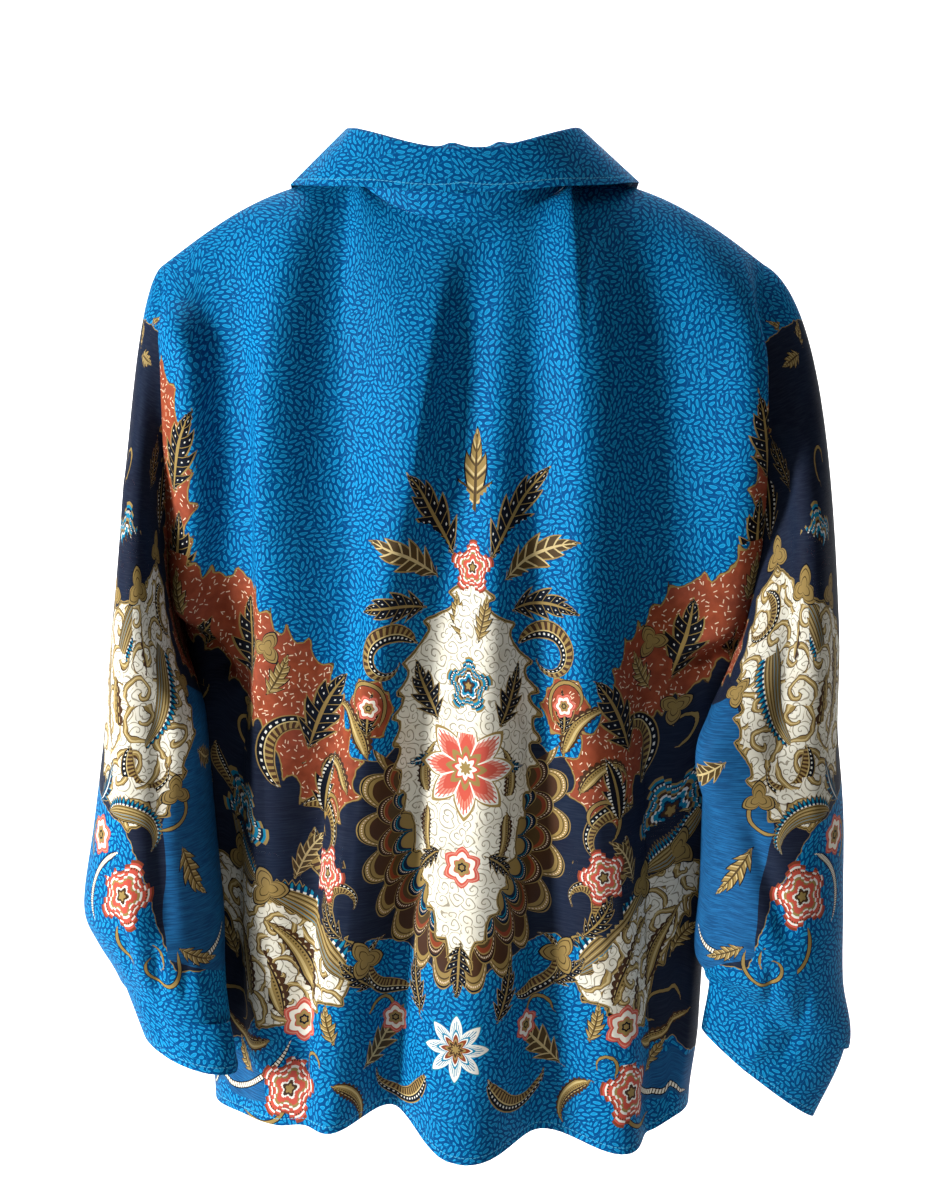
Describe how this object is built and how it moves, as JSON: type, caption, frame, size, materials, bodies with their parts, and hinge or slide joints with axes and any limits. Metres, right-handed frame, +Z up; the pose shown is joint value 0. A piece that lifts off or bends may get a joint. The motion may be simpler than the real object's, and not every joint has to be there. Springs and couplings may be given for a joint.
{
  "type": "batik shirt",
  "caption": "Long-sleeved batik shirt, hollow as worn, with turned-down collar, buttoned front and cuffs, held at the neck.",
  "frame": {"origin": "midway between the two points where the sides of the neck meet the shoulder seams, where the shirt is held", "axes": "+Z up the shirt's height, -Y out of its buttoned front, +X towards the wearer's left sleeve"},
  "size_m": [0.5895, 0.2513, 0.7812],
  "materials": {
    "cloth": "smooth woven cotton",
    "sleeve_cloth": "smooth woven cotton",
    "button": "polished"
  },
  "bodies": {
    "root": {"back": "cloth", "front_left": "cloth", "front_right": "cloth", "sleeve_left": "sleeve_cloth", "sleeve_right": "sleeve_cloth", "cuff_left": "cloth", "cuff_right": "cloth", "collar": "cloth", "button_1": "button", "button_2": "button", "button_3": "button", "button_4": "button", "button_5": "button", "button_6": "button", "button_7": "button", "button_cuff_left": "button", "button_cuff_right": "button"}
  },
  "joints": []
}
